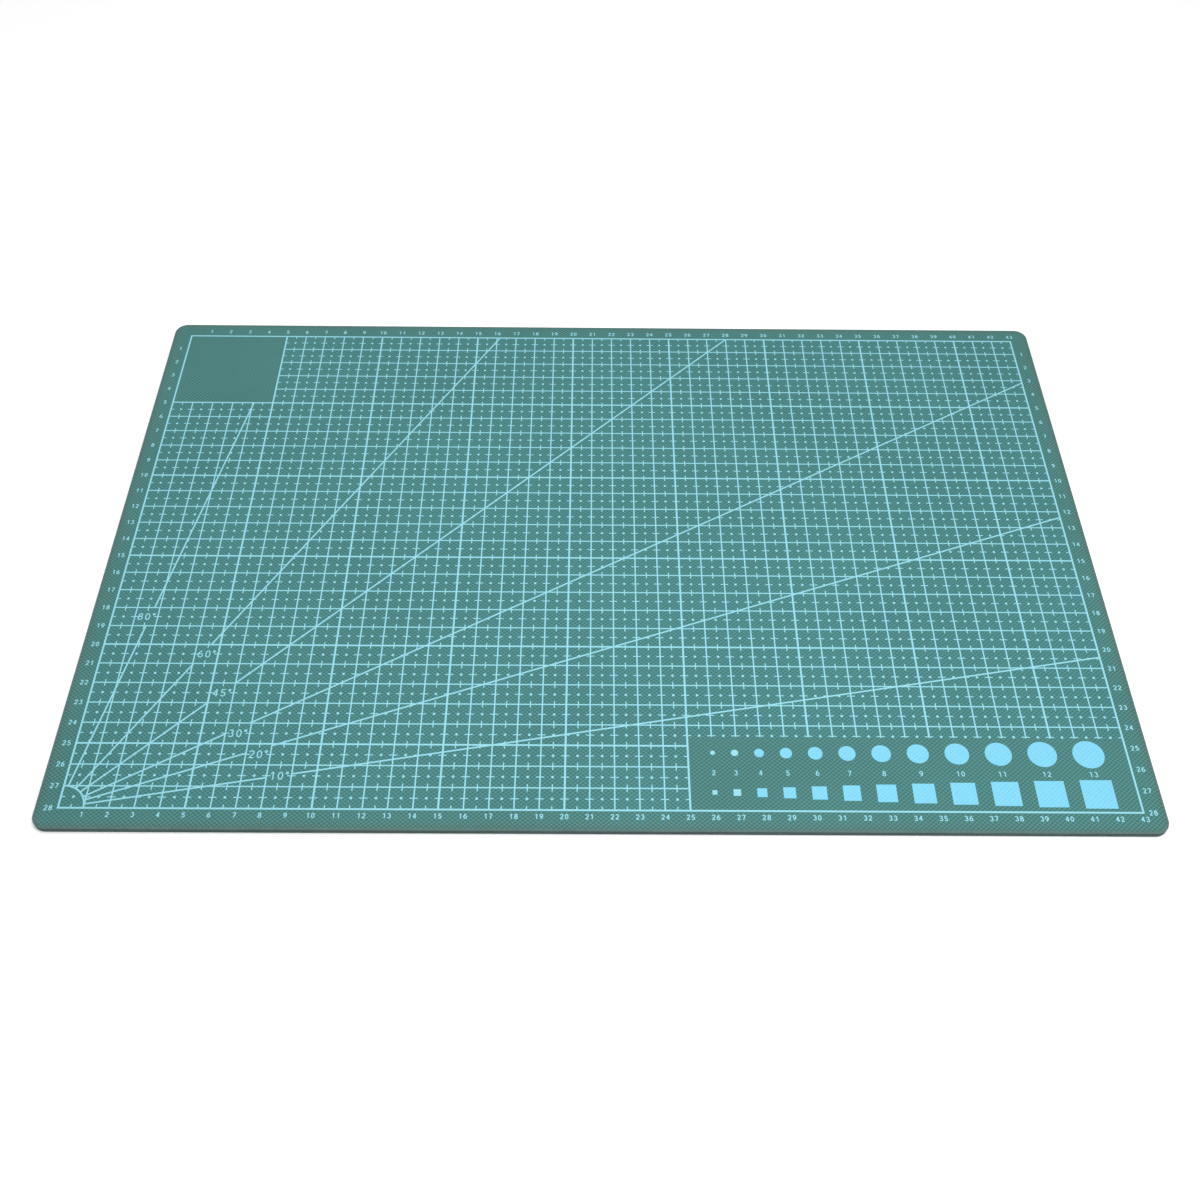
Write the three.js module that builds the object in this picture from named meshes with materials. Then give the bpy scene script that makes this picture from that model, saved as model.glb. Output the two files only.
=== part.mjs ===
// Self-healing cutting mat, A3 size: a five-ply vinyl board with a printed centimetre scale.
// Millimetres, +Z up. The origin is the centre of the underside, +X runs along the long side
// and +Y away from the user. Each ply and each separate patch of printing ink is its own mesh.

import * as THREE from "three";

// Board
const LENGTH = 448.6;
const WIDTH = 298.2;
const CORNER_RADIUS = 6;
const CORNER_STEPS = 6;

// Plies from the bench upwards. These thicknesses and the ink's are exact in binary, so that
// neighbours share a plane.
const PLIES = [
  { name: "bottom_skin", thickness: 0.625, material: "vinyl_skin" },
  { name: "lower_healing_layer", thickness: 0.5, material: "healing_layer" },
  { name: "rigid_core", thickness: 0.75, material: "core_sheet" },
  { name: "upper_healing_layer", thickness: 0.5, material: "healing_layer" },
  { name: "top_cutting_skin", thickness: 0.625, material: "vinyl_skin" },
];
const BOARD_THICKNESS = PLIES.reduce((sum, ply) => sum + ply.thickness, 0);

// Printed scale: 43 by 28 squares of one centimetre, counted from the back left corner.
const SQUARE = 10;
const COLUMNS = 43;
const ROWS = 28;
const INK_THICKNESS = 0.03125;
const HEAVY_LINE = 0.8;
const ANGLE_LINE = 0.7;
const INK_GAP = 0.3;

// A square at the back left is left blank, inside a frame of its own.
const BLANK_SQUARES = 5;

// Angle lines fan out from an arc round the front left corner. Each breaks off across the
// one square that holds its label.
const ARC_RADIUS = 10;
const ARC_STEPS = 24;
const ANGLES = [
  { degrees: 10, label: { column: 8, row: 26 } },
  { degrees: 20, label: { column: 7, row: 25 } },
  { degrees: 30, label: { column: 6, row: 24 } },
  { degrees: 45, label: { column: 5, row: 22 } },
  { degrees: 60, label: { column: 4, row: 20 } },
  { degrees: 80, label: { column: 1, row: 18 } },
];

// Templates: a disc and a square of each whole size, in millimetres.
const SMALLEST_TEMPLATE = 2;
const LARGEST_TEMPLATE = 13;
const FIRST_TEMPLATE = 26.01;
const TEMPLATE_GAP = 6.5;
const DISC_ROW = 25.32;
const SQUARE_ROW = 27.17;
const DISC_STEPS = 24;

const MATERIALS = {
  vinyl_skin: new THREE.MeshStandardMaterial({ color: 0x548986, roughness: 0.62, metalness: 0 }),
  healing_layer: new THREE.MeshStandardMaterial({ color: 0x4c5c5b, roughness: 0.7, metalness: 0 }),
  core_sheet: new THREE.MeshStandardMaterial({ color: 0x6a7c7b, roughness: 0.6, metalness: 0 }),
  printing_ink: new THREE.MeshStandardMaterial({ color: 0x87dffc, roughness: 0.5, metalness: 0 }),
};

// Board coordinates of a point on the printed scale, counted in squares from the back left corner.
function gridPoint(column, row) {
  return new THREE.Vector2((column - COLUMNS / 2) * SQUARE, (ROWS / 2 - row) * SQUARE);
}

function toPoints(pairs) {
  return pairs.map(([x, y]) => new THREE.Vector2(x, y));
}

function extrude(shape, depth, curveSegments = 1) {
  return new THREE.ExtrudeGeometry(shape, { depth, curveSegments, bevelEnabled: false });
}

function addMesh(group, name, geometry, materialName, x, y, z) {
  const mesh = new THREE.Mesh(geometry, MATERIALS[materialName]);
  mesh.name = name;
  mesh.position.set(x, y, z);
  group.add(mesh);
}

// A piece of the printing: it lies on the top skin, with its outline's origin at x, y.
function addInk(group, name, geometry, x = 0, y = 0) {
  addMesh(group, name, geometry, "printing_ink", x, y, BOARD_THICKNESS);
}

function roundedRectangle(length, width, radius) {
  const x = length / 2 - radius;
  const y = width / 2 - radius;
  const shape = new THREE.Shape();
  shape.absarc(x, -y, radius, -Math.PI / 2, 0);
  shape.absarc(x, y, radius, 0, Math.PI / 2);
  shape.absarc(-x, y, radius, Math.PI / 2, Math.PI);
  shape.absarc(-x, -y, radius, Math.PI, 1.5 * Math.PI);
  return shape;
}

// The five plies, stacked face to face.
function addPlies(group) {
  const outline = roundedRectangle(LENGTH, WIDTH, CORNER_RADIUS);
  let base = 0;
  for (const { name, thickness, material } of PLIES) {
    addMesh(group, name, extrude(outline, thickness, CORNER_STEPS), material, 0, 0, base);
    base += thickness;
  }
}

// The outermost grid lines and the two that close off the blank square: one film of ink round
// two openings, the blank square and the rest of the grid.
function borderLines() {
  const half = HEAVY_LINE / 2;
  const { x: left, y: front } = gridPoint(0, ROWS);
  const { x: right, y: back } = gridPoint(COLUMNS, 0);
  const { x: blankRight, y: blankFront } = gridPoint(BLANK_SQUARES, BLANK_SQUARES);
  const outer = [
    [left - half, front - half],
    [right + half, front - half],
    [right + half, back + half],
    [left - half, back + half],
  ];
  const blankSquare = [
    [left + half, blankFront + half],
    [blankRight - half, blankFront + half],
    [blankRight - half, back - half],
    [left + half, back - half],
  ];
  const rest = [
    [left + half, front + half],
    [right - half, front + half],
    [right - half, back - half],
    [blankRight + half, back - half],
    [blankRight + half, blankFront - half],
    [left + half, blankFront - half],
  ];
  const shape = new THREE.Shape(toPoints(outer));
  shape.holes.push(new THREE.Path(toPoints(blankSquare)), new THREE.Path(toPoints(rest)));
  return extrude(shape, INK_THICKNESS);
}

// The quarter arc that the angle lines start from. It stops short of the border lines.
function cornerArc() {
  const centre = gridPoint(0, ROWS);
  const margin = (HEAVY_LINE / 2 + INK_GAP) / ARC_RADIUS;
  const [start, end] = [margin, Math.PI / 2 - margin];
  const shape = new THREE.Shape();
  shape.absarc(centre.x, centre.y, ARC_RADIUS + ANGLE_LINE / 2, start, end);
  shape.absarc(centre.x, centre.y, ARC_RADIUS - ANGLE_LINE / 2, end, start, true);
  return extrude(shape, INK_THICKNESS, ARC_STEPS);
}

// A straight stretch of an angle line, between two distances from the front left corner.
function angleStretch(angle, from, to) {
  const half = ANGLE_LINE / 2;
  const shape = new THREE.Shape(toPoints([[from, -half], [to, -half], [to, half], [from, half]]));
  const { x, y } = gridPoint(0, ROWS);
  return extrude(shape, INK_THICKNESS).rotateZ(angle).translate(x, y, 0);
}

// One angle line in two stretches, either side of its label's square. It starts off the arc and
// runs up to the border, or to the front of the blank square.
function addAngleLine(group, { degrees, label }) {
  const angle = THREE.MathUtils.degToRad(degrees);
  const toColumn = (column) => (column * SQUARE) / Math.cos(angle);
  const toRow = (row) => ((ROWS - row) * SQUARE) / Math.sin(angle);
  const meetsBlank = toRow(BLANK_SQUARES) < toColumn(BLANK_SQUARES);
  const endColumn = toColumn(COLUMNS);
  const endRow = toRow(meetsBlank ? BLANK_SQUARES : 0);
  // A square end has to clear the line it meets at a slant by the width of its leading corner.
  const slant = endColumn < endRow ? angle : Math.PI / 2 - angle;
  const clearance = (HEAVY_LINE / 2 + INK_GAP) / Math.cos(slant) + ANGLE_LINE / 2 * Math.tan(slant);
  const arcEdge = ARC_RADIUS + ANGLE_LINE / 2 + INK_GAP;
  const breakStart = Math.max(toColumn(label.column), toRow(label.row + 1));
  const breakEnd = Math.min(toColumn(label.column + 1), toRow(label.row));
  const end = Math.min(endColumn, endRow) - clearance;
  addInk(group, `angle_line_${degrees}deg_inner`, angleStretch(angle, arcEdge, breakStart));
  addInk(group, `angle_line_${degrees}deg_outer`, angleStretch(angle, breakEnd, end));
}

function discShape(diameter) {
  return new THREE.Shape().absarc(0, 0, diameter / 2, 0, 2 * Math.PI);
}

function squareShape(side) {
  const half = side / 2;
  return new THREE.Shape(toPoints([[-half, -half], [half, -half], [half, half], [-half, half]]));
}

// The printed templates, each a separate patch of ink, placed a steady gap apart.
function addTemplates(group) {
  let column = FIRST_TEMPLATE;
  for (let size = SMALLEST_TEMPLATE; size <= LARGEST_TEMPLATE; size++) {
    const label = String(size).padStart(2, "0");
    const discCentre = gridPoint(column, DISC_ROW);
    const squareCentre = gridPoint(column, SQUARE_ROW);
    const disc = extrude(discShape(size), INK_THICKNESS, DISC_STEPS);
    const square = extrude(squareShape(size), INK_THICKNESS);
    addInk(group, `disc_template_${label}mm`, disc, discCentre.x, discCentre.y);
    addInk(group, `square_template_${label}mm`, square, squareCentre.x, squareCentre.y);
    column += (size + 0.5 + TEMPLATE_GAP) / SQUARE;
  }
}

const mat = new THREE.Group();
addPlies(mat);
addInk(mat, "border_lines", borderLines());
addInk(mat, "corner_arc", cornerArc());
for (const line of ANGLES) {
  addAngleLine(mat, line);
}
addTemplates(mat);

export default mat;
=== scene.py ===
"""An A3 self-healing cutting mat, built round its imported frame.

The five plies of the board replace the plain CAD plies and have softened, die-cut edges. All the
printing is real geometry: thin closed films of ink on the top skin. Metres, +Z up, the frame's
own axes. Places on the printed scale are counted in squares from the back left corner, as
(column, row), in the way the mat's own ruler counts them.
"""

import math

import bmesh
import bpy
from mathutils import Matrix, Quaternion, Vector


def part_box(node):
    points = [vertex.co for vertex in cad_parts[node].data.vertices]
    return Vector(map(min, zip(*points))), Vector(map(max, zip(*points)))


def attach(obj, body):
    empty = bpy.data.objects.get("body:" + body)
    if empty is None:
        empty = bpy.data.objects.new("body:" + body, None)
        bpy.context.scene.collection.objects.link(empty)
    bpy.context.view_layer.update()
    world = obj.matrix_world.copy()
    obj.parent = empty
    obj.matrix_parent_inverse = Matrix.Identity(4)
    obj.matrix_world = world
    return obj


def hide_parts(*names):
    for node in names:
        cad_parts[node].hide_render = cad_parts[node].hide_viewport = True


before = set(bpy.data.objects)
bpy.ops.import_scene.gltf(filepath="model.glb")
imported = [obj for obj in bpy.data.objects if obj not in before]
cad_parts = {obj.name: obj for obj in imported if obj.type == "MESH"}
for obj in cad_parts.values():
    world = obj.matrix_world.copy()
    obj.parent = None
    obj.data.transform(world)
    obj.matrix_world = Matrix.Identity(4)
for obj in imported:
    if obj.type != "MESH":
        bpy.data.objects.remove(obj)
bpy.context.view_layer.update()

MM = 0.001

# Board
CORNER_RADIUS = 6 * MM
CORNER_STEPS = 20

# Printed scale
SQUARE = 10 * MM
COLUMNS, ROWS = 43, 28
MAJOR_EVERY = 5
BLANK_SQUARES = 5
PANEL_LEFT, PANEL_BACK = 25, 24.55

FINE_LINE = 0.58 * MM
HEAVY_LINE = 0.8 * MM
ANGLE_LINE = 0.7 * MM
TICK_LINE = 0.46 * MM
TICK_LENGTH = 3.4 * MM
DOT_DIAMETER = 1.2 * MM
DOT_SIDES = 12

# Height of each film of ink over the skin. No two films that cross share a height.
INK_FILM = {
    "tick": 0.014 * MM,
    "dot": 0.016 * MM,
    "fine_across": 0.018 * MM,
    "fine_up": 0.020 * MM,
    "heavy_across": 0.022 * MM,
    "heavy_up": 0.024 * MM,
    "blank_edge": 0.025 * MM,
    "border": 0.026 * MM,
    "angle": 0.028 * MM,
    "arc": 0.030 * MM,
    "number": 0.030 * MM,
}

# Angle lines: degrees, and the column and row of the square that holds the label
ARC_RADIUS = 1.0
ANGLES = {10: (8, 26), 20: (7, 25), 30: (6, 24), 45: (5, 22), 60: (4, 20), 80: (1, 18)}

# Numbers: cap height and stroke, and how far each ruler's stand off the border, in squares
RULER_TYPE = (2.2 * MM, 0.42 * MM)
ANGLE_TYPE = (3.6 * MM, 0.5 * MM)
TEMPLATE_TYPE = (2.3 * MM, 0.38 * MM)
FRONT_OFFSET, BACK_OFFSET, SIDE_OFFSET = 0.29, 0.34, 0.39

# Templates: a disc and a square of each whole size in millimetres, with its number between
TEMPLATE_SIZES = range(2, 14)
PALE_TEMPLATES = (2, 3)
NUMBER_ROW = 26.26

# Camera: degrees, the point of the board that it looks at, and its distance in metres
CAMERA_AZIMUTH, CAMERA_ELEVATION, CAMERA_ROLL = -0.635, 51.969, 0.835
CAMERA_TARGET = (-0.89 * MM, -31.94 * MM, 0)
CAMERA_DISTANCE = 0.5963
LENS, SENSOR_WIDTH = 39.955, 36

# Light: places and sizes in metres, power in watts, spin in degrees
KEY_ABOVE = (0.09, -0.11)
KEY_HEIGHT = 0.5
KEY_SIZE = (0.7, 0.25)
KEY_POWER = 2.0
KEY_SPIN = -32
FILL_PLACE = (0.9, -1.1, 1.3)
FILL_SIZE = (1.2, 1.2)
FILL_POWER = 3
WORLD_STRENGTH = 0.9

# Floor: from its middle to each side, in metres
FLOOR_REACH = 20

# Emboss, in waves per metre along X, Y and Z, and how far in from the sides the vinyl is worn
EMBOSS = (488, -560, 0)
CROSS_EMBOSS = (488, 560, 0)
HANDLED_RIM = 9 * MM

# Linear colours. The last two are filters, laid over the vinyl's colour.
VINYL = (0.0425, 0.150, 0.141)
CUT_VINYL = (0.067, 0.125, 0.118)
SOFT_PLY = (0.028, 0.048, 0.047)
CORE_PLY = (0.044, 0.068, 0.066)
SOLID_INK = (0.154, 0.474, 0.630)
LINE_INK = (0.221, 0.511, 0.589)
FLOOR = (0.97, 0.97, 0.97)
INK_HAZE = (0.95, 1.045, 1.11)
HANDLING = (1.45, 1.0, 0.95)


# ---------------------------------------------------------------- making pieces


def link(name, mesh, material, replaced=()):
    """A finished mesh as a piece that rides on the board, for the CAD nodes it replaces."""
    piece = bpy.data.objects.new(name, mesh)
    bpy.context.scene.collection.objects.link(piece)
    mesh.materials.append(material)
    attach(piece, "root")
    if replaced:
        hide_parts(*replaced)


def from_bmesh(name, bm):
    """The faces built so far as a mesh, all of them facing out."""
    bmesh.ops.recalc_face_normals(bm, faces=bm.faces)
    mesh = bpy.data.meshes.new(name)
    bm.to_mesh(mesh)
    bm.free()
    return mesh


# ---------------------------------------------------------------- the board


def rounded_outline(inset):
    """The board's outline moved inwards: its corners, anticlockwise from above."""
    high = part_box("top_cutting_skin")[1]
    radius = CORNER_RADIUS - inset
    x, y = high.x - CORNER_RADIUS, high.y - CORNER_RADIUS
    centres = [(x, y, 0), (-x, y, 90), (-x, -y, 180), (x, -y, 270)]
    points = []
    for cx, cy, start in centres:
        for step in range(CORNER_STEPS + 1):
            angle = math.radians(start + 90 * step / CORNER_STEPS)
            points.append((cx + radius * math.cos(angle), cy + radius * math.sin(angle)))
    return points


def edge_profile(bottom, top, inset, bottom_lip, top_lip, steps=5):
    """A ply's edge from its bottom face to its top face, as pairs of inset and height.

    Each lip is a quarter of an ellipse, given by how far it reaches inwards and how deep it is.
    """
    (bottom_reach, bottom_depth), (top_reach, top_depth) = bottom_lip, top_lip
    turns = [math.radians(90 * step / steps) for step in range(steps + 1)]
    lower = [(inset + bottom_reach * (1 - math.sin(t)), bottom + bottom_depth * (1 - math.cos(t)))
             for t in turns]
    upper = [(inset + top_reach * (1 - math.cos(t)), top - top_depth * (1 - math.sin(t)))
             for t in turns]
    return lower + upper


def build_ply(name, inset, bottom_lip, top_lip, face_material, edge_material):
    """One ply of the laminate, as wide as the board less its inset, with rounded edges."""
    low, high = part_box(name)
    bm = bmesh.new()
    rings = []
    for ring_inset, height in edge_profile(low.z, high.z, inset, bottom_lip, top_lip):
        outline = rounded_outline(ring_inset)
        rings.append([bm.verts.new((x, y, height)) for x, y in outline])
    bm.faces.new(reversed(rings[0]))
    bm.faces.new(rings[-1])
    for lower, upper in zip(rings, rings[1:]):
        for i in range(len(lower)):
            j = (i + 1) % len(lower)
            face = bm.faces.new((lower[i], lower[j], upper[j], upper[i]))
            face.smooth = True
            face.material_index = 1
    mesh = from_bmesh(name + "_ply", bm)
    link(name + "_ply", mesh, face_material, [name])
    mesh.materials.append(edge_material)


def build_board(materials):
    skin, cut_skin = materials["skin"], materials["cut_skin"]
    soft, core = materials["soft"], materials["core"]
    thin = (0.04 * MM, 0.04 * MM)
    lip = (0.8 * MM, 0.5 * MM)
    foot = (0.3 * MM, 0.25 * MM)
    build_ply("top_cutting_skin", 0, thin, lip, skin, cut_skin)
    build_ply("upper_healing_layer", 0.05 * MM, thin, thin, soft, soft)
    build_ply("rigid_core", 0.01 * MM, thin, thin, core, core)
    build_ply("lower_healing_layer", 0.05 * MM, thin, thin, soft, soft)
    build_ply("bottom_skin", 0, foot, thin, skin, cut_skin)


# ---------------------------------------------------------------- ink


class Ink:
    """A set of thin closed films on the top skin, which become one piece."""

    def __init__(self, name):
        self.name = name
        self.bm = bmesh.new()
        self.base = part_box("top_cutting_skin")[1].z

    def film(self, left, right, thickness, closed):
        """A strip between two edges, given as lists of points. A closed strip is a ring."""
        count = len(left)
        levels = [self.base, self.base + thickness]
        rows = [[self.bm.verts.new((p.x, p.y, z)) for p in edge] for z in levels
                for edge in (left, right)]
        low_left, low_right, high_left, high_right = rows
        for i in range(count if closed else count - 1):
            j = (i + 1) % count
            self.bm.faces.new((high_left[i], high_right[i], high_right[j], high_left[j]))
            self.bm.faces.new((low_left[j], low_right[j], low_right[i], low_left[i]))
            self.bm.faces.new((low_left[i], high_left[i], high_left[j], low_left[j]))
            self.bm.faces.new((low_right[j], high_right[j], high_right[i], low_right[i]))
        if not closed:
            self.bm.faces.new((low_left[0], low_right[0], high_right[0], high_left[0]))
            self.bm.faces.new((high_left[-1], high_right[-1], low_right[-1], low_left[-1]))

    def line(self, points, width, thickness, closed=False):
        """A line of even width through the points, with mitred corners."""
        points = [Vector(p) for p in points]
        count = len(points)
        left, right = [], []
        for i, point in enumerate(points):
            before = points[i - 1] if closed or i > 0 else None
            after = points[(i + 1) % count] if closed or i < count - 1 else None
            sides = [side_of(a, b) for a, b in ((before, point), (point, after)) if a and b]
            mitre = sum(sides, Vector((0, 0))).normalized()
            reach = width / 2 / mitre.dot(sides[0])
            left.append(point + mitre * reach)
            right.append(point - mitre * reach)
        self.film(left, right, thickness, closed)

    def dot(self, centre, diameter, thickness):
        turns = [2 * math.pi * i / DOT_SIDES for i in range(DOT_SIDES)]
        rim = [centre + Vector((math.cos(t), math.sin(t))) * diameter / 2 for t in turns]
        low = [self.bm.verts.new((p.x, p.y, self.base)) for p in rim]
        high = [self.bm.verts.new((p.x, p.y, self.base + thickness)) for p in rim]
        self.bm.faces.new(high)
        self.bm.faces.new(reversed(low))
        for i in range(DOT_SIDES):
            j = (i + 1) % DOT_SIDES
            self.bm.faces.new((low[i], low[j], high[j], high[i]))

    def finish(self, material, replaced=()):
        link(self.name, from_bmesh(self.name, self.bm), material, replaced)


def side_of(start, end):
    """The unit vector to the left of the way from start to end."""
    along = (end - start).normalized()
    return Vector((-along.y, along.x))


def grid(column, row):
    """A point of the printed scale, in metres from the board's centre."""
    return Vector(((column - COLUMNS / 2) * SQUARE, (ROWS / 2 - row) * SQUARE))


def in_blank(column, row):
    return column < BLANK_SQUARES and row < BLANK_SQUARES


def in_panel(column, row):
    return column > PANEL_LEFT and row > PANEL_BACK


# ---------------------------------------------------------------- the printed scale


def column_span(column):
    """The rows that the line up a column runs between."""
    back = BLANK_SQUARES if column < BLANK_SQUARES else 0
    front = PANEL_BACK if column > PANEL_LEFT else ROWS
    return back, front


def row_span(row):
    """The columns that the line across a row runs between."""
    left = BLANK_SQUARES if row < BLANK_SQUARES else 0
    right = PANEL_LEFT if row > PANEL_BACK else COLUMNS
    return left, right


def print_grid(ink):
    fine, heavy = Ink("centimetre_lines"), Ink("five_centimetre_lines")
    for column in range(1, COLUMNS):
        back, front = column_span(column)
        ends = [grid(column, back), grid(column, front)]
        if column % MAJOR_EVERY:
            fine.line(ends, FINE_LINE, INK_FILM["fine_up"])
        else:
            heavy.line(ends, HEAVY_LINE, INK_FILM["heavy_up"])
    for row in range(1, ROWS):
        left, right = row_span(row)
        ends = [grid(left, row), grid(right, row)]
        if row % MAJOR_EVERY:
            fine.line(ends, FINE_LINE, INK_FILM["fine_across"])
        else:
            heavy.line(ends, HEAVY_LINE, INK_FILM["heavy_across"])
    fine.finish(ink)
    heavy.finish(ink)


def print_border(ink):
    border = Ink("border_line")
    corners = [grid(0, ROWS), grid(COLUMNS, ROWS), grid(COLUMNS, 0), grid(0, 0)]
    border.line(corners, HEAVY_LINE, INK_FILM["border"], closed=True)
    edge = BLANK_SQUARES
    blank = [grid(0, edge), grid(edge, edge), grid(edge, 0)]
    border.line(blank, HEAVY_LINE, INK_FILM["blank_edge"])
    border.finish(ink, ["border_lines"])


def print_ticks(ink):
    """Half-centimetre ticks across every line. They stop at the line where one side is blank."""
    ticks = Ink("half_centimetre_ticks")
    reach = TICK_LENGTH / 2 / SQUARE

    def blank_beyond(column, row):
        outside = not (0 < column < COLUMNS and 0 < row < ROWS)
        return outside or in_blank(column, row) or in_panel(column, row)

    def tick(column, row, across, up):
        sides = [0 if blank_beyond(column + side * across, row + side * up) else side
                 for side in (-1, 1)]
        if sides != [0, 0]:
            ends = [grid(column + side * across, row + side * up) for side in sides]
            ticks.line(ends, TICK_LINE, INK_FILM["tick"])

    for column in range(COLUMNS + 1):
        back, front = column_span(column)
        for row in range(back, math.ceil(front)):
            tick(column, row + 0.5, reach, 0)
    for row in range(ROWS + 1):
        left, right = row_span(row)
        for column in range(left, right):
            tick(column + 0.5, row, 0, reach)
    ticks.finish(ink)


def print_dots(ink):
    """A dot in the middle of each square, but for the blank parts and the labels' squares."""
    dots = Ink("centre_dots")
    for column in range(COLUMNS):
        for row in range(ROWS):
            middle = (column + 0.5, row + 0.5)
            labelled = (column, row) in ANGLES.values()
            if not (in_blank(*middle) or in_panel(*middle) or labelled):
                dots.dot(grid(*middle), DOT_DIAMETER, INK_FILM["dot"])
    dots.finish(ink)


def angle_ends(degrees, column, row):
    """Where an angle line starts, breaks off for its label, goes on, and ends, in squares."""
    angle = math.radians(degrees)

    def to_column(c):
        return c / math.cos(angle)

    def to_row(r):
        return (ROWS - r) / math.sin(angle)

    meets_blank = to_row(BLANK_SQUARES) < to_column(BLANK_SQUARES)
    end = min(to_column(COLUMNS), to_row(BLANK_SQUARES if meets_blank else 0))
    break_start = max(to_column(column), to_row(row + 1))
    break_end = min(to_column(column + 1), to_row(row))
    return ARC_RADIUS, break_start, break_end, end


def print_angles(ink):
    lines, replaced = Ink("angle_lines"), []
    for degrees, (column, row) in ANGLES.items():
        angle = math.radians(degrees)
        places = [grid(d * math.cos(angle), ROWS - d * math.sin(angle))
                  for d in angle_ends(degrees, column, row)]
        lines.line(places[:2], ANGLE_LINE, INK_FILM["angle"])
        lines.line(places[2:], ANGLE_LINE, INK_FILM["angle"])
        replaced += [f"angle_line_{degrees}deg_inner", f"angle_line_{degrees}deg_outer"]
    lines.finish(ink, replaced)

    curve = Ink("corner_arc_line")
    points = arc(0, 0, ARC_RADIUS, ARC_RADIUS, 0, 90, 32)
    curve.line([grid(x, ROWS - y) for x, y in points], ANGLE_LINE, INK_FILM["arc"])
    curve.finish(ink, ["corner_arc"])


# ---------------------------------------------------------------- numbers


def arc(cx, cy, rx, ry, start, end, steps=18):
    """Points on part of an ellipse, between two angles in degrees."""
    turns = [math.radians(start + (end - start) * i / steps) for i in range(steps + 1)]
    return [(cx + rx * math.cos(t), cy + ry * math.sin(t)) for t in turns]


def ring(cx, cy, rx, ry):
    return arc(cx, cy, rx, ry, 0, 360)[:-1]


# Each figure is drawn with strokes of even width on a cap height of 1. A stroke that closes on
# itself is in the second list. A figure is 0.6 wide.
SIX_STEM = arc(0.50, 0.33, 0.45, 0.62, 180, 95)
FIGURES = {
    "0": ([], [ring(0.30, 0.50, 0.24, 0.45)]),
    "1": ([[(0.12, 0.76), (0.33, 0.97)], [(0.36, 1.0), (0.36, 0.0)]], []),
    "2": ([arc(0.29, 0.70, 0.24, 0.25, 165, -38), [(0.46, 0.56), (0.07, 0.06)],
           [(0.03, 0.05), (0.57, 0.05)]], []),
    "3": ([arc(0.28, 0.73, 0.21, 0.22, 155, -90), arc(0.28, 0.29, 0.25, 0.24, 90, -155)], []),
    "4": ([[(0.43, 0.0), (0.43, 1.0)], [(0.42, 0.95), (0.06, 0.31)], [(0.02, 0.29), (0.60, 0.29)]],
          []),
    "5": ([[(0.53, 0.95), (0.13, 0.95)], [(0.15, 0.98), (0.10, 0.52)],
           arc(0.28, 0.31, 0.26, 0.26, 135, -150)], []),
    "6": ([SIX_STEM], [ring(0.30, 0.31, 0.25, 0.26)]),
    "7": ([[(0.03, 0.95), (0.57, 0.95)], [(0.55, 0.93), (0.22, 0.0)]], []),
    "8": ([], [ring(0.30, 0.74, 0.20, 0.21), ring(0.30, 0.29, 0.25, 0.24)]),
    "9": ([[(0.6 - x, 1 - y) for x, y in SIX_STEM]], [ring(0.30, 0.69, 0.25, 0.26)]),
    "°": ([], [ring(0.14, 0.86, 0.11, 0.11)]),
}
FIGURE_WIDTH, FIGURE_PITCH, DEGREE_WIDTH = 0.6, 0.88, 0.28
STROKE_STEP = 0.0004 * MM


def print_number(ink, text, centre, cap_height, stroke_width):
    """Figures side by side, centred on a point. Strokes that cross have different heights."""
    length = FIGURE_PITCH * (len(text) - 1)
    length += DEGREE_WIDTH if text.endswith("°") else FIGURE_WIDTH
    stroke_count = 0
    for place, figure in enumerate(text):
        corner = centre + Vector((place * FIGURE_PITCH - length / 2, -0.5)) * cap_height
        opened, closed = FIGURES[figure]
        for stroke in opened + closed:
            points = [corner + Vector(p) * cap_height for p in stroke]
            thickness = INK_FILM["number"] - STROKE_STEP * (stroke_count % 3)
            ink.line(points, stroke_width, thickness, closed=stroke in closed)
            stroke_count += 1


def print_rulers(ink):
    front, back = Ink("front_ruler_numbers"), Ink("back_ruler_numbers")
    for column in range(1, COLUMNS + 1):
        print_number(front, str(column), grid(column, ROWS + FRONT_OFFSET), *RULER_TYPE)
        print_number(back, str(column), grid(column, -BACK_OFFSET), *RULER_TYPE)
    left, right = Ink("left_ruler_numbers"), Ink("right_ruler_numbers")
    for row in range(1, ROWS + 1):
        print_number(left, str(row), grid(-SIDE_OFFSET, row), *RULER_TYPE)
        print_number(right, str(row), grid(COLUMNS + SIDE_OFFSET, row), *RULER_TYPE)
    for ruler in (front, back, left, right):
        ruler.finish(ink)


def print_labels(ink):
    labels = Ink("angle_labels")
    for degrees, (column, row) in ANGLES.items():
        print_number(labels, f"{degrees}°", grid(column + 0.5, row + 0.5), *ANGLE_TYPE)
    labels.finish(ink)

    sizes = Ink("template_numbers")
    for size in TEMPLATE_SIZES:
        low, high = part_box(f"disc_template_{size:02d}mm")
        centre = Vector(((low.x + high.x) / 2, grid(0, NUMBER_ROW).y))
        print_number(sizes, str(size), centre, *TEMPLATE_TYPE)
    sizes.finish(ink)


def coat_templates(line_ink, solid_ink):
    """The discs and squares are the CAD's own films. The smallest print as pale as the lines."""
    for size in TEMPLATE_SIZES:
        for shape in ("disc", "square"):
            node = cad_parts[f"{shape}_template_{size:02d}mm"]
            node.material_slots[0].material = line_ink if size in PALE_TEMPLATES else solid_ink


# ---------------------------------------------------------------- materials


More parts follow.
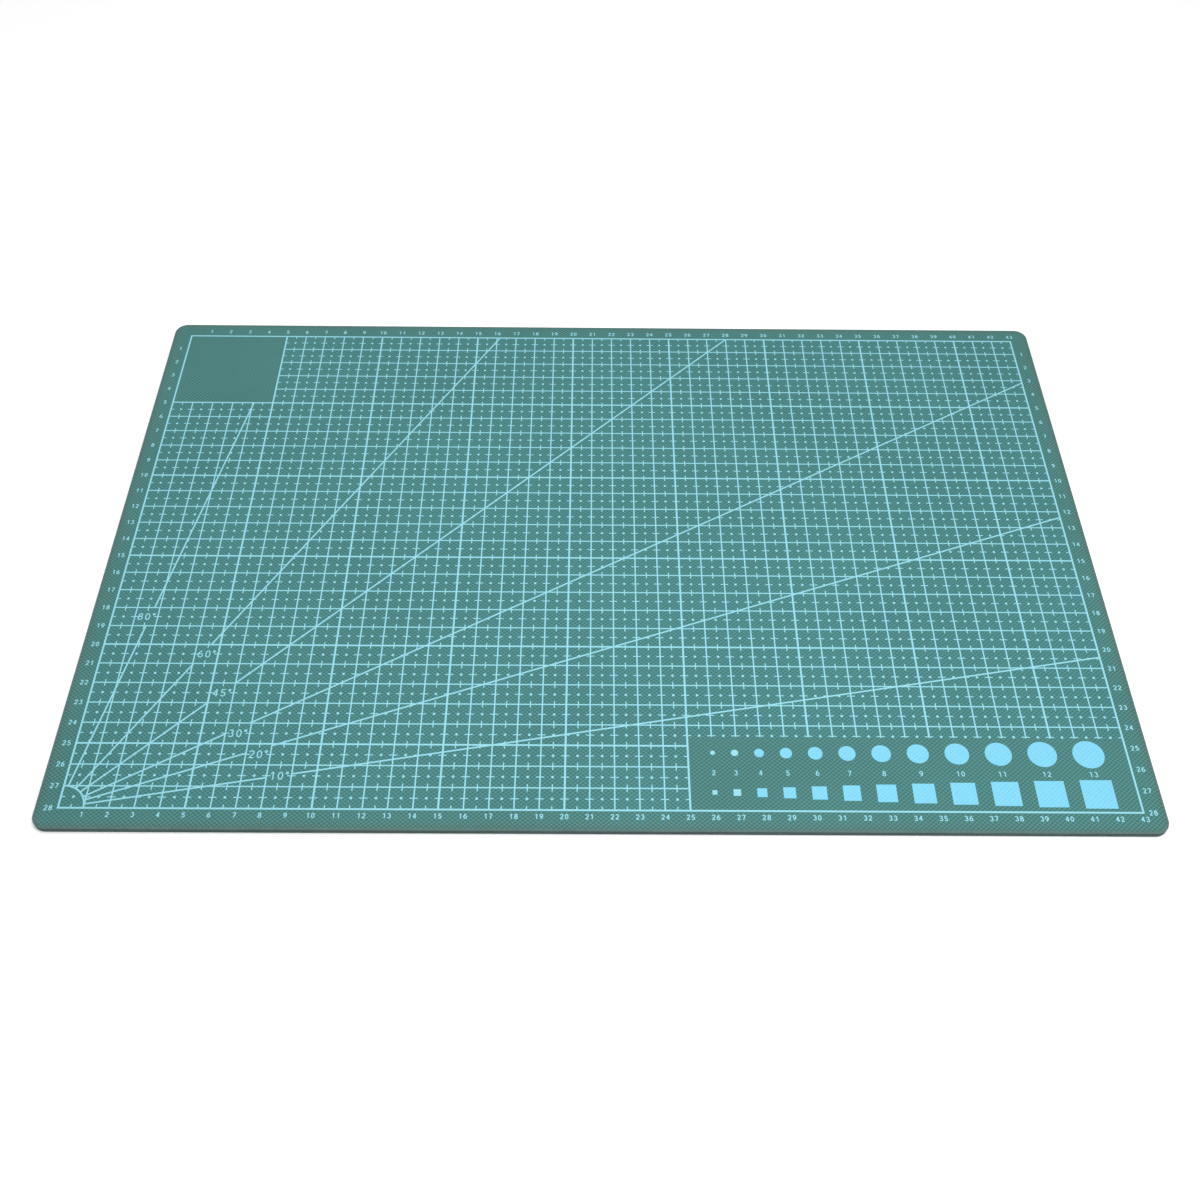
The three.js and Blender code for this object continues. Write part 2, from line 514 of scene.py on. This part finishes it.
class Surface:
    """A material's node graph, built one node at a time."""

    def __init__(self, name, colour, roughness, specular):
        self.material = bpy.data.materials.new(name)
        self.material.use_nodes = True
        self.tree = self.material.node_tree
        self.shader = self.tree.nodes["Principled BSDF"]
        self.shader.inputs["Base Color"].default_value = (*colour, 1)
        self.shader.inputs["Roughness"].default_value = roughness
        self.shader.inputs["Specular IOR Level"].default_value = specular
        self.position = self.add("ShaderNodeTexCoord").outputs["Object"]
        self.axes = self.add("ShaderNodeSeparateXYZ")
        self.feed(self.axes.inputs[0], self.position)

    def add(self, kind, **settings):
        node = self.tree.nodes.new(kind)
        for name, value in settings.items():
            setattr(node, name, value)
        return node

    def feed(self, socket, value):
        if isinstance(value, bpy.types.NodeSocket):
            self.tree.links.new(value, socket)
        else:
            socket.default_value = value

    def math(self, operation, *values):
        node = self.add("ShaderNodeMath", operation=operation)
        for socket, value in zip(node.inputs, values):
            self.feed(socket, value)
        return node.outputs[0]

    def noise(self, scale, detail=2, stretch=(1, 1, 1)):
        mapping = self.add("ShaderNodeMapping")
        self.feed(mapping.inputs["Vector"], self.position)
        mapping.inputs["Scale"].default_value = stretch
        node = self.add("ShaderNodeTexNoise")
        self.feed(node.inputs["Vector"], mapping.outputs[0])
        node.inputs["Scale"].default_value = scale
        node.inputs["Detail"].default_value = detail
        return node.outputs["Fac"]

    def wave(self, frequency):
        """A sine wave from -1 to 1, with a frequency per metre along X, Y and Z."""
        node = self.add("ShaderNodeVectorMath", operation="DOT_PRODUCT")
        self.feed(node.inputs[0], self.position)
        node.inputs[1].default_value = [2 * math.pi * f for f in frequency]
        return self.math("SINE", node.outputs["Value"])

    def inside(self, low, high):
        """1 between two opposite corners of an upright rectangle in plan, and 0 outside it."""
        fits = []
        for axis in range(2):
            middle, reach = (low[axis] + high[axis]) / 2, (high[axis] - low[axis]) / 2
            away = self.math("ABSOLUTE", self.math("SUBTRACT", self.axes.outputs[axis], middle))
            fits.append(self.math("LESS_THAN", away, reach))
        return self.math("MULTIPLY", *fits)

    def blend(self, share, low, high):
        """A number from low to high as share goes from 0 to 1."""
        node = self.add("ShaderNodeMapRange")
        self.feed(node.inputs["Value"], share)
        node.inputs["To Min"].default_value = low
        node.inputs["To Max"].default_value = high
        return node.outputs[0]

    def tint(self, share, low, high):
        """The base colour, from low to high as share goes from 0 to 1."""
        node = self.add("ShaderNodeMix", data_type="RGBA")
        self.feed(node.inputs["Factor"], share)
        node.inputs["A"].default_value = (*low, 1)
        node.inputs["B"].default_value = (*high, 1)
        self.feed(self.shader.inputs["Base Color"], node.outputs["Result"])
        return node.outputs["Result"]

    def glaze(self, colour, share, filter_colour):
        """The base colour again, seen through a filter where share is 1."""
        node = self.add("ShaderNodeMix", data_type="RGBA", blend_type="MULTIPLY")
        self.feed(node.inputs["Factor"], share)
        self.feed(node.inputs["A"], colour)
        node.inputs["B"].default_value = (*filter_colour, 1)
        self.feed(self.shader.inputs["Base Color"], node.outputs["Result"])
        return node.outputs["Result"]

    def bump(self, height, distance):
        node = self.add("ShaderNodeBump")
        node.inputs["Distance"].default_value = distance
        self.feed(node.inputs["Height"], height)
        self.feed(self.shader.inputs["Normal"], node.outputs[0])


def scaled(colour, factor):
    return tuple(channel * factor for channel in colour)


def rim_distance(surface):
    """How far a point of the board is from the board's nearest side."""
    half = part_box("top_cutting_skin")[1]
    gaps = [surface.math("SUBTRACT", side, surface.math("ABSOLUTE", surface.axes.outputs[axis]))
            for axis, side in enumerate((half.x, half.y))]
    return surface.math("MINIMUM", *gaps)


def gridded(surface):
    """1 on the squares of the printed grid, and 0 on its blank parts and the rim."""
    whole = surface.inside(grid(0, ROWS), grid(COLUMNS, 0))
    blank = surface.inside(grid(0, BLANK_SQUARES), grid(BLANK_SQUARES, 0))
    panel = surface.inside(grid(PANEL_LEFT, ROWS), grid(COLUMNS, PANEL_BACK))
    return surface.math("SUBTRACT", whole, surface.math("ADD", blank, panel))


def embossed_vinyl():
    """Matt vinyl with a fine diagonal emboss, whose ribs are smoother. Its colour is lighter on
    the ribs and darker in the grooves, as painted shading of the emboss.

    It is greyer towards the rim, where it is handled, and darker in the last few millimetres.
    Between the grid lines the ink leaves a faint blue haze on it.
    """
    surface = Surface("embossed_vinyl", VINYL, 0.62, 0.25)
    ribs = surface.wave(EMBOSS)
    crossed = surface.math("MULTIPLY", surface.wave(CROSS_EMBOSS), 0.85)
    grain = surface.math("MULTIPLY_ADD", surface.noise(2600, 3), 1.4, -0.7)
    relief = surface.math("ADD", surface.math("ADD", ribs, crossed), grain)
    height = surface.math("MULTIPLY_ADD", relief, 0.27, 0.5)
    clouds = surface.math("MULTIPLY_ADD", surface.noise(14, 3), 0.36, -0.18)
    reach = surface.math("DIVIDE", rim_distance(surface), HANDLED_RIM)
    handled = surface.math("MAXIMUM", surface.math("SUBTRACT", 1, reach), 0)
    rubbed = surface.math("MULTIPLY", surface.math("POWER", handled, 6), -0.45)
    share = surface.math("ADD", surface.math("ADD", height, clouds), rubbed)
    # Painted shading: through height, this tint is lighter on the emboss's ribs and darker in its
    # grooves.
    vinyl = surface.tint(share, scaled(VINYL, 0.62), scaled(VINYL, 1.38))
    vinyl = surface.glaze(vinyl, surface.math("POWER", handled, 3), HANDLING)
    surface.glaze(vinyl, gridded(surface), INK_HAZE)
    surface.feed(surface.shader.inputs["Roughness"], surface.blend(height, 0.72, 0.52))
    surface.bump(height, 0.09 * MM)
    return surface.material


def cut_edge(name, colour, roughness):
    """A die-cut edge: faint vertical drag marks and a dull, uneven tone."""
    surface = Surface(name, colour, roughness, 0.3)
    drag = surface.noise(900, 3, stretch=(1, 1, 0.12))
    clouds = surface.noise(60, 2)
    share = surface.math("MULTIPLY_ADD", drag, 0.7, surface.math("MULTIPLY", clouds, 0.4))
    surface.tint(share, scaled(colour, 0.6), scaled(colour, 1.45))
    surface.feed(surface.shader.inputs["Roughness"], surface.blend(drag, roughness - 0.1, 0.9))
    surface.bump(drag, 0.12 * MM)
    return surface.material


def printed_ink(name, colour):
    """Screen-printed ink: a smoother film that follows the emboss, with slight starved spots."""
    surface = Surface(name, colour, 0.5, 0.25)
    ribs = surface.math("MULTIPLY", surface.wave(EMBOSS), 0.16)
    crossed = surface.math("MULTIPLY_ADD", surface.wave(CROSS_EMBOSS), 0.1, ribs)
    starved = surface.noise(1500, 4)
    share = surface.math("ADD", crossed, starved)
    # Painted shading of the emboss: the ink is lighter on the ribs and darker in the grooves; the
    # starved spots are its own uneven tone.
    surface.tint(share, scaled(colour, 0.86), scaled(colour, 1.12))
    surface.feed(surface.shader.inputs["Roughness"], surface.blend(starved, 0.38, 0.66))
    surface.bump(share, 0.05 * MM)
    return surface.material


# ---------------------------------------------------------------- camera, floor and light


def add_camera():
    """The camera, turned about the point it looks at, then rolled about its own axis."""
    angles = (CAMERA_AZIMUTH, CAMERA_ELEVATION, CAMERA_ROLL)
    azimuth, elevation, roll = (math.radians(angle) for angle in angles)
    back = Vector((math.sin(azimuth) * math.cos(elevation),
                   -math.cos(azimuth) * math.cos(elevation), math.sin(elevation)))
    level = Vector((math.cos(azimuth), math.sin(azimuth), 0))
    upright = back.cross(level)
    right = level * math.cos(roll) + upright * math.sin(roll)
    up = upright * math.cos(roll) - level * math.sin(roll)
    data = bpy.data.cameras.new("camera")
    data.sensor_width = SENSOR_WIDTH
    data.lens = LENS
    data.clip_start = 0.01
    camera = bpy.data.objects.new("camera", data)
    bpy.context.scene.collection.objects.link(camera)
    turn = Matrix((right, up, back)).transposed().to_4x4()
    place = Vector(CAMERA_TARGET) + back * CAMERA_DISTANCE
    camera.matrix_world = Matrix.Translation(place) @ turn
    bpy.context.scene.camera = camera


def add_floor():
    bm = bmesh.new()
    bmesh.ops.create_grid(bm, x_segments=1, y_segments=1, size=FLOOR_REACH)
    surface = Surface("pale_floor", FLOOR, 0.8, 0.2)
    mesh = bpy.data.meshes.new("floor")
    bm.to_mesh(mesh)
    bm.free()
    mesh.materials.append(surface.material)
    floor = bpy.data.objects.new("floor", mesh)
    bpy.context.scene.collection.objects.link(floor)


def add_softbox(name, place, target, size, power, spin=0):
    """A soft light aimed at a target, and spun about its own axis by some degrees."""
    data = bpy.data.lights.new(name, "AREA")
    data.shape = "RECTANGLE"
    data.size, data.size_y = size
    data.energy = power
    lamp = bpy.data.objects.new(name, data)
    bpy.context.scene.collection.objects.link(lamp)
    lamp.location = place
    aim = (Vector(target) - Vector(place)).to_track_quat("-Z", "Y")
    lamp.rotation_euler = (aim @ Quaternion((0, 0, 1), math.radians(spin))).to_euler()


def add_lights():
    world = bpy.data.worlds.new("studio")
    world.use_nodes = True
    background = world.node_tree.nodes["Background"]
    background.inputs["Color"].default_value = (1, 1, 1, 1)
    background.inputs["Strength"].default_value = WORLD_STRENGTH
    bpy.context.scene.world = world
    bpy.context.scene.view_settings.view_transform = "Standard"
    key_place, key_target = (*KEY_ABOVE, KEY_HEIGHT), (*KEY_ABOVE, 0)
    add_softbox("key_softbox", key_place, key_target, KEY_SIZE, KEY_POWER, KEY_SPIN)
    add_softbox("fill_softbox", FILL_PLACE, (0, 0, 0), FILL_SIZE, FILL_POWER)


# ---------------------------------------------------------------- the scene


def build():
    add_camera()
    add_lights()
    add_floor()
    build_board({
        "skin": embossed_vinyl(),
        "cut_skin": cut_edge("cut_vinyl_edge", CUT_VINYL, 0.75),
        "soft": cut_edge("soft_ply_edge", SOFT_PLY, 0.8),
        "core": cut_edge("core_ply_edge", CORE_PLY, 0.7),
    })
    line_ink = printed_ink("pale_blue_line_ink", LINE_INK)
    print_grid(line_ink)
    print_border(line_ink)
    print_ticks(line_ink)
    print_dots(line_ink)
    print_angles(line_ink)
    print_rulers(line_ink)
    print_labels(line_ink)
    coat_templates(line_ink, printed_ink("pale_blue_solid_ink", SOLID_INK))


build()
